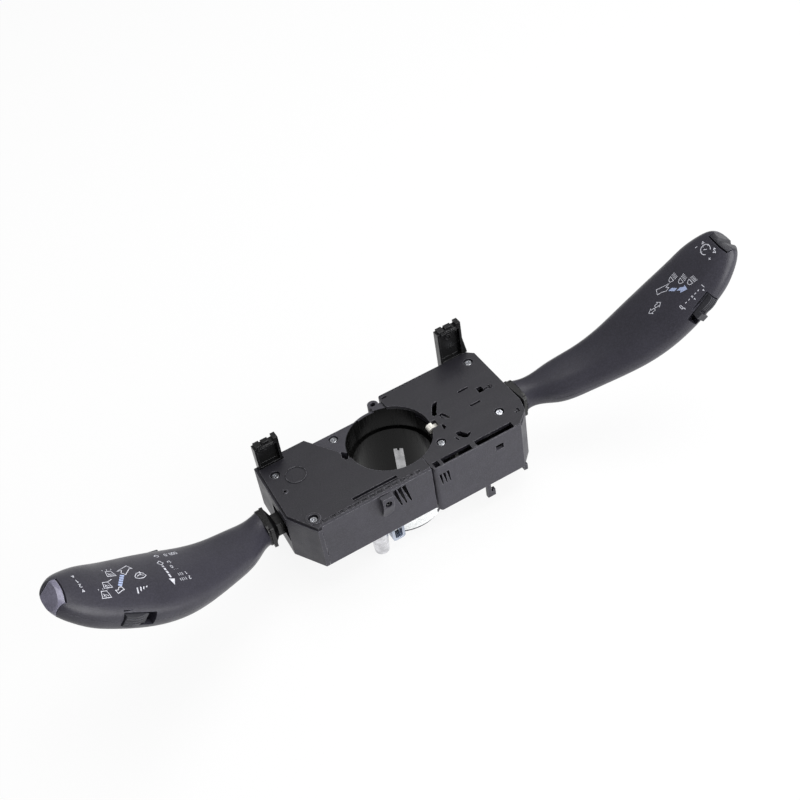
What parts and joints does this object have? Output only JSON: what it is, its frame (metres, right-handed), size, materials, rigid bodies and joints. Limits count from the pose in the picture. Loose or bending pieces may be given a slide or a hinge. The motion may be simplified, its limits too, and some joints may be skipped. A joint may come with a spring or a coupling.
{
  "type": "combination stalk switch",
  "caption": "Steering-column combination switch: bored carrier between a turn-signal unit and a wiper unit, each with a swinging and dipping paddle stalk, tip rocker and thumb slider.",
  "frame": {"origin": "on the column bore's axis, at the top face of the two covers", "axes": "+Z along the column toward the driver, +X toward the turn-signal stalk, +Y toward the latch posts"},
  "size_m": [0.3761, 0.0886, 0.1095],
  "materials": {
    "case_plastic": "fine-grained dark grey moulding",
    "cover_plastic": "fine-grained charcoal moulding",
    "black_plastic": "smooth black moulding",
    "stalk_plastic": "soft-touch charcoal with light grey printed marks",
    "control_plastic": "fine ribbed charcoal",
    "grey_cap_plastic": "glossy grey",
    "white_plastic": "off-white acetal",
    "finger_plastic": "light grey acetal",
    "zinc_screw": "bright zinc plated",
    "black_steel": "blackened steel",
    "zinc_sheet": "bluish zinc plated sheet",
    "barrel_metal": "turned, pale silver",
    "spring_steel": "bright spring steel",
    "contact_metal": "tinned brass",
    "board_laminate": "green glass-fibre laminate"
  },
  "bodies": {
    "housing": {"carrier_housing": "case_plastic", "turn_unit_housing": "case_plastic", "wiper_unit_housing": "case_plastic", "turn_unit_cover": "cover_plastic", "wiper_unit_cover": "cover_plastic", "cover_screws": "zinc_screw", "deck_screw": "zinc_screw", "turn_latch_post": "black_plastic", "wiper_latch_post": "black_plastic", "column_guide_collar": "white_plastic", "earth_strip": "spring_steel", "clamp_screw": "black_steel", "clamp_bracket": "zinc_sheet", "locating_barrel": "barrel_metal", "turn_connector": "black_plastic", "turn_connector_pins": "contact_metal", "turn_circuit_board": "board_laminate", "turn_detent_track": "white_plastic", "turn_swing_pin": "spring_steel", "wiper_connector": "black_plastic", "wiper_connector_pins": "contact_metal", "wiper_circuit_board": "board_laminate", "wiper_detent_track": "white_plastic", "wiper_swing_pin": "spring_steel"},
    "cancel_finger_body": {"cancel_finger": "finger_plastic"},
    "turn_lever": {"turn_yoke": "black_plastic", "turn_dip_pin": "spring_steel"},
    "turn_plunger_body": {"turn_plunger": "spring_steel"},
    "turn_stalk": {"turn_stalk_neck": "black_plastic", "turn_stalk_front": "stalk_plastic", "turn_stalk_rear": "stalk_plastic", "set_rocker_pin": "spring_steel"},
    "cruise_slider_body": {"cruise_slider": "control_plastic"},
    "set_rocker_body": {"set_rocker": "control_plastic"},
    "wiper_lever": {"wiper_yoke": "black_plastic", "wiper_dip_pin": "spring_steel"},
    "wiper_plunger_body": {"wiper_plunger": "spring_steel"},
    "wiper_stalk": {"wiper_stalk_neck": "black_plastic", "wiper_stalk_front": "stalk_plastic", "wiper_stalk_rear": "stalk_plastic", "trip_rocker_pin": "spring_steel"},
    "interval_slider_body": {"interval_slider": "control_plastic"},
    "trip_rocker_body": {"trip_rocker": "grey_cap_plastic"},
    "reset_key_body": {"reset_key": "control_plastic"}
  },
  "joints": [
    {"name": "turn_swing", "type": "hinge", "parent": "housing", "child": "turn_lever", "pos_m": [0.05, -0.005, -0.0136], "axis": [0, 0, 1], "range_deg": [-12, 12]},
    {"name": "turn_dip", "type": "hinge", "parent": "turn_lever", "child": "turn_stalk", "pos_m": [0.06, -0.005, -0.0136], "axis": [0, -1, 0], "range_deg": [-5, 6], "stiffness_Nm_per_rad": 12},
    {"name": "turn_plunger_slide", "type": "slide", "parent": "turn_lever", "child": "turn_plunger_body", "axis": [1, 0, 0], "range_m": [0, 0.0012], "stiffness_N_per_m": 400, "springref_m": -0.001},
    {"name": "cruise_slide", "type": "slide", "parent": "turn_stalk", "child": "cruise_slider_body", "axis": [-0.6946, 0.1728, -0.6983], "range_m": [0, 0.0036]},
    {"name": "set_rock", "type": "hinge", "parent": "turn_stalk", "child": "set_rocker_body", "pos_m": [0.18087, -0.03798, 0.05416], "axis": [-0.7998, 0, 0.6002], "range_deg": [-4, 4], "stiffness_Nm_per_rad": 0.05},
    {"name": "wiper_swing", "type": "hinge", "parent": "housing", "child": "wiper_lever", "pos_m": [-0.05, -0.005, -0.0136], "axis": [0, 0, 1], "range_deg": [-5, 14]},
    {"name": "wiper_dip", "type": "hinge", "parent": "wiper_lever", "child": "wiper_stalk", "pos_m": [-0.06, -0.005, -0.0136], "axis": [0, 1, 0], "range_deg": [-5, 6], "stiffness_Nm_per_rad": 12},
    {"name": "wiper_plunger_slide", "type": "slide", "parent": "wiper_lever", "child": "wiper_plunger_body", "axis": [-1, 0, 0], "range_m": [0, 0.0012], "stiffness_N_per_m": 400, "springref_m": -0.001},
    {"name": "interval_slide", "type": "slide", "parent": "wiper_stalk", "child": "interval_slider_body", "axis": [0.7538, 0.1853, -0.6304], "range_m": [0, 0.004]},
    {"name": "trip_rock", "type": "hinge", "parent": "wiper_stalk", "child": "trip_rocker_body", "pos_m": [-0.18137, -0.04117, 0.05076], "axis": [0.7255, 0, 0.6882], "range_deg": [-4, 4], "stiffness_Nm_per_rad": 0.05},
    {"name": "reset_press", "type": "slide", "parent": "wiper_stalk", "child": "reset_key_body", "axis": [0.234, -0.9608, -0.1488], "range_m": [0, 0.0009], "stiffness_N_per_m": 400, "springref_m": -0.0008},
    {"name": "finger_slide", "type": "slide", "parent": "housing", "child": "cancel_finger_body", "axis": [1, 0, 0], "range_m": [0, 0.0022], "stiffness_N_per_m": 300, "springref_m": -0.002}
  ]
}
